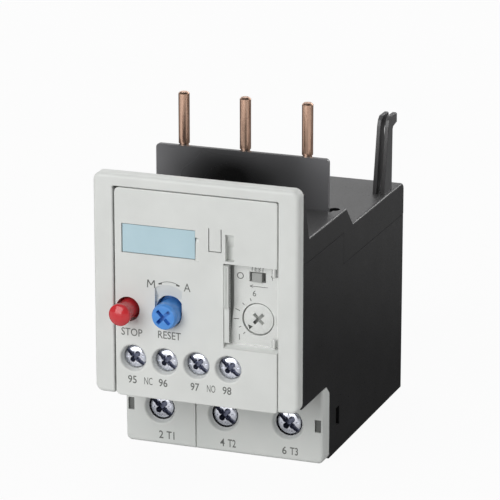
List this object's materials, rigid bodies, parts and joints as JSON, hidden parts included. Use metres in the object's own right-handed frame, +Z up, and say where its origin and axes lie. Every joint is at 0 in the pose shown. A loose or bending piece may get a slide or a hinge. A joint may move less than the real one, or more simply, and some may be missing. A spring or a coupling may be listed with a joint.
{
  "type": "thermal overload relay",
  "caption": "Three-pole thermal overload relay with a grey bezel front, stop and reset buttons, setting dial under a clear lid, screw terminals and copper pins towards the contactor.",
  "frame": {"origin": "middle of the bounding box's bottom: the flat underside that the relay stands on", "axes": "+X across the three poles to the right as seen from the front, +Y from the front panel towards the rear, +Z up along the connection pins"},
  "size_m": [0.045, 0.0756, 0.0748],
  "materials": {
    "grey_plastic": "light grey moulded thermoplastic, fine satin",
    "shroud_plastic": "slightly darker light grey moulded thermoplastic",
    "black_plastic": "black glass-filled moulding, fine grain",
    "cream_plastic": "natural moulded thermoset",
    "clear_plastic": "clear moulded polycarbonate",
    "label_blue": "pale blue writable label, blank",
    "red_plastic": "glossy red",
    "blue_plastic": "glossy blue",
    "plated_steel": "bright zinc plate",
    "spring_steel": "drawn wire",
    "bimetal": "rolled strip",
    "heater_alloy": "resistance ribbon",
    "copper": "drawn copper, slightly dulled",
    "brass": "stamped strip"
  },
  "bodies": {
    "root": {"housing_base": "black_plastic", "top_cover": "black_plastic", "front_frame": "grey_plastic", "front_panel": "grey_plastic", "terminal_shroud": "shroud_plastic", "phase_barrier": "black_plastic", "mounting_hook": "black_plastic", "mechanism_bracket": "black_plastic", "label_strip": "label_blue", "scale_plate": "grey_plastic", "cover_hinge_pins": "grey_plastic", "stop_spring": "spring_steel", "reset_spring": "spring_steel", "lever_pins": "plated_steel", "load_busbar_1": "copper", "connection_pin_1": "copper", "bimetal_1": "bimetal", "heater_winding_1": "heater_alloy", "load_busbar_2": "copper", "connection_pin_2": "copper", "bimetal_2": "bimetal", "heater_winding_2": "heater_alloy", "load_busbar_3": "copper", "connection_pin_3": "copper", "bimetal_3": "bimetal", "heater_winding_3": "heater_alloy", "aux_contact_95": "brass", "aux_contact_96": "brass", "aux_contact_97": "brass", "aux_contact_98": "brass"},
    "cover": {"clear_cover": "clear_plastic", "cover_grip": "grey_plastic"},
    "dial": {"current_dial": "grey_plastic", "dial_cam": "black_plastic"},
    "stop": {"stop_button": "red_plastic"},
    "reset_ring": {"reset_ring": "black_plastic"},
    "reset_button": {"reset_button": "blue_plastic"},
    "test_slide": {"test_slide": "grey_plastic"},
    "main_clamp_1": {"main_clamp_1": "plated_steel"},
    "main_screw_1": {"main_screw_1": "plated_steel"},
    "main_clamp_2": {"main_clamp_2": "plated_steel"},
    "main_screw_2": {"main_screw_2": "plated_steel"},
    "main_clamp_3": {"main_clamp_3": "plated_steel"},
    "main_screw_3": {"main_screw_3": "plated_steel"},
    "aux_clamp_95": {"aux_clamp_95": "plated_steel"},
    "aux_screw_95": {"aux_screw_95": "plated_steel"},
    "aux_clamp_96": {"aux_clamp_96": "plated_steel"},
    "aux_screw_96": {"aux_screw_96": "plated_steel"},
    "aux_clamp_97": {"aux_clamp_97": "plated_steel"},
    "aux_screw_97": {"aux_screw_97": "plated_steel"},
    "aux_clamp_98": {"aux_clamp_98": "plated_steel"},
    "aux_screw_98": {"aux_screw_98": "plated_steel"},
    "main_slider": {"main_slider": "cream_plastic"},
    "differential_slider": {"differential_slider": "cream_plastic"},
    "trip_lever": {"trip_lever": "cream_plastic", "compensation_strip": "bimetal"},
    "release_lever": {"release_lever": "cream_plastic"},
    "contact_carrier": {"contact_carrier": "black_plastic", "contact_bridges": "brass"}
  },
  "joints": [
    {"name": "cover_open", "type": "hinge", "parent": "root", "child": "cover", "pos_m": [0.017, -0.0316, 0.0385], "axis": [0, 0, 1], "range_deg": [0, 105]},
    {"name": "dial_turn", "type": "hinge", "parent": "root", "child": "dial", "pos_m": [0.0132, -0.0313, 0.0356], "axis": [0, 1, 0], "range_deg": [0, 115]},
    {"name": "stop_press", "type": "slide", "parent": "root", "child": "stop", "axis": [0, 1, 0], "range_m": [0, 0.0025], "stiffness_N_per_m": 300, "springref_m": -0.001, "deforming": ["stop_spring"]},
    {"name": "reset_turn", "type": "hinge", "parent": "root", "child": "reset_ring", "pos_m": [-0.006, -0.0206, 0.0351], "axis": [0, 1, 0], "range_deg": [0, 90]},
    {"name": "reset_press", "type": "slide", "parent": "reset_ring", "child": "reset_button", "axis": [0, 1, 0], "range_m": [0, 0.002], "stiffness_N_per_m": 300, "springref_m": -0.001, "deforming": ["reset_spring"]},
    {"name": "test_slide_move", "type": "slide", "parent": "root", "child": "test_slide", "axis": [1, 0, 0], "range_m": [-0.0007, 0.0007]},
    {"name": "main_clamp_1_close", "type": "slide", "parent": "root", "child": "main_clamp_1", "axis": [0, 1, 0], "range_m": [0, 0.0021]},
    {"name": "main_screw_1_turn", "type": "hinge", "parent": "main_clamp_1", "child": "main_screw_1", "pos_m": [-0.0145, -0.0156, 0.0082], "axis": [0, 1, 0], "range_deg": [0, 1081]},
    {"name": "main_clamp_2_close", "type": "slide", "parent": "root", "child": "main_clamp_2", "axis": [0, 1, 0], "range_m": [0, 0.0021]},
    {"name": "main_screw_2_turn", "type": "hinge", "parent": "main_clamp_2", "child": "main_screw_2", "pos_m": [0, -0.0156, 0.0082], "axis": [0, 1, 0], "range_deg": [0, 1081]},
    {"name": "main_clamp_3_close", "type": "slide", "parent": "root", "child": "main_clamp_3", "axis": [0, 1, 0], "range_m": [0, 0.0021]},
    {"name": "main_screw_3_turn", "type": "hinge", "parent": "main_clamp_3", "child": "main_screw_3", "pos_m": [0.0145, -0.0156, 0.0082], "axis": [0, 1, 0], "range_deg": [0, 1081]},
    {"name": "aux_clamp_95_close", "type": "slide", "parent": "root", "child": "aux_clamp_95", "axis": [0, 1, 0], "range_m": [0, 0.0015]},
    {"name": "aux_screw_95_turn", "type": "hinge", "parent": "aux_clamp_95", "child": "aux_screw_95", "pos_m": [-0.01396, -0.0312, 0.0245], "axis": [0, 1, 0], "range_deg": [0, 1081]},
    {"name": "aux_clamp_96_close", "type": "slide", "parent": "root", "child": "aux_clamp_96", "axis": [0, 1, 0], "range_m": [0, 0.0015]},
    {"name": "aux_screw_96_turn", "type": "hinge", "parent": "aux_clamp_96", "child": "aux_screw_96", "pos_m": [-0.00692, -0.0312, 0.0245], "axis": [0, 1, 0], "range_deg": [0, 1081]},
    {"name": "aux_clamp_97_close", "type": "slide", "parent": "root", "child": "aux_clamp_97", "axis": [0, 1, 0], "range_m": [0, 0.0015]},
    {"name": "aux_screw_97_turn", "type": "hinge", "parent": "aux_clamp_97", "child": "aux_screw_97", "pos_m": [0.00012, -0.0312, 0.0245], "axis": [0, 1, 0], "range_deg": [0, 1081]},
    {"name": "aux_clamp_98_close", "type": "slide", "parent": "root", "child": "aux_clamp_98", "axis": [0, 1, 0], "range_m": [0, 0.0015]},
    {"name": "aux_screw_98_turn", "type": "hinge", "parent": "aux_clamp_98", "child": "aux_screw_98", "pos_m": [0.00716, -0.0312, 0.0245], "axis": [0, 1, 0], "range_deg": [0, 1081]},
    {"name": "main_slider_move", "type": "slide", "parent": "root", "child": "main_slider", "axis": [1, 0, 0], "range_m": [0, 0.002], "stiffness_N_per_m": 150, "springref_m": -0.0005},
    {"name": "differential_slider_move", "type": "slide", "parent": "root", "child": "differential_slider", "axis": [1, 0, 0], "range_m": [0, 0.002]},
    {"name": "trip_lever_swing", "type": "hinge", "parent": "root", "child": "trip_lever", "pos_m": [0.018, 0.0034, 0.0365], "axis": [0, 0, 1], "range_deg": [-11.6, 0]},
    {"name": "release_lever_swing", "type": "hinge", "parent": "root", "child": "release_lever", "pos_m": [0.008, -0.0106, 0.032], "axis": [0, 0, 1], "range_deg": [-6.4, 0]},
    {"name": "contact_carrier_move", "type": "slide", "parent": "root", "child": "contact_carrier", "axis": [0, 1, 0], "range_m": [0, 0.00121]}
  ],
  "couplings": [
    {"joint": "main_screw_1_turn", "follows": "main_clamp_1_close", "rad_per_m": 8976},
    {"joint": "main_screw_2_turn", "follows": "main_clamp_2_close", "rad_per_m": 8976},
    {"joint": "main_screw_3_turn", "follows": "main_clamp_3_close", "rad_per_m": 8976},
    {"joint": "aux_screw_95_turn", "follows": "aux_clamp_95_close", "rad_per_m": 12566},
    {"joint": "aux_screw_96_turn", "follows": "aux_clamp_96_close", "rad_per_m": 12566},
    {"joint": "aux_screw_97_turn", "follows": "aux_clamp_97_close", "rad_per_m": 12566},
    {"joint": "aux_screw_98_turn", "follows": "aux_clamp_98_close", "rad_per_m": 12566},
    {"joint": "differential_slider_move", "follows": "main_slider_move", "ratio": 1},
    {"joint": "trip_lever_swing", "follows": "main_slider_move", "rad_per_m": -100},
    {"joint": "release_lever_swing", "follows": "main_slider_move", "rad_per_m": -54.5},
    {"joint": "contact_carrier_move", "follows": "main_slider_move", "ratio": 0.6}
  ]
}
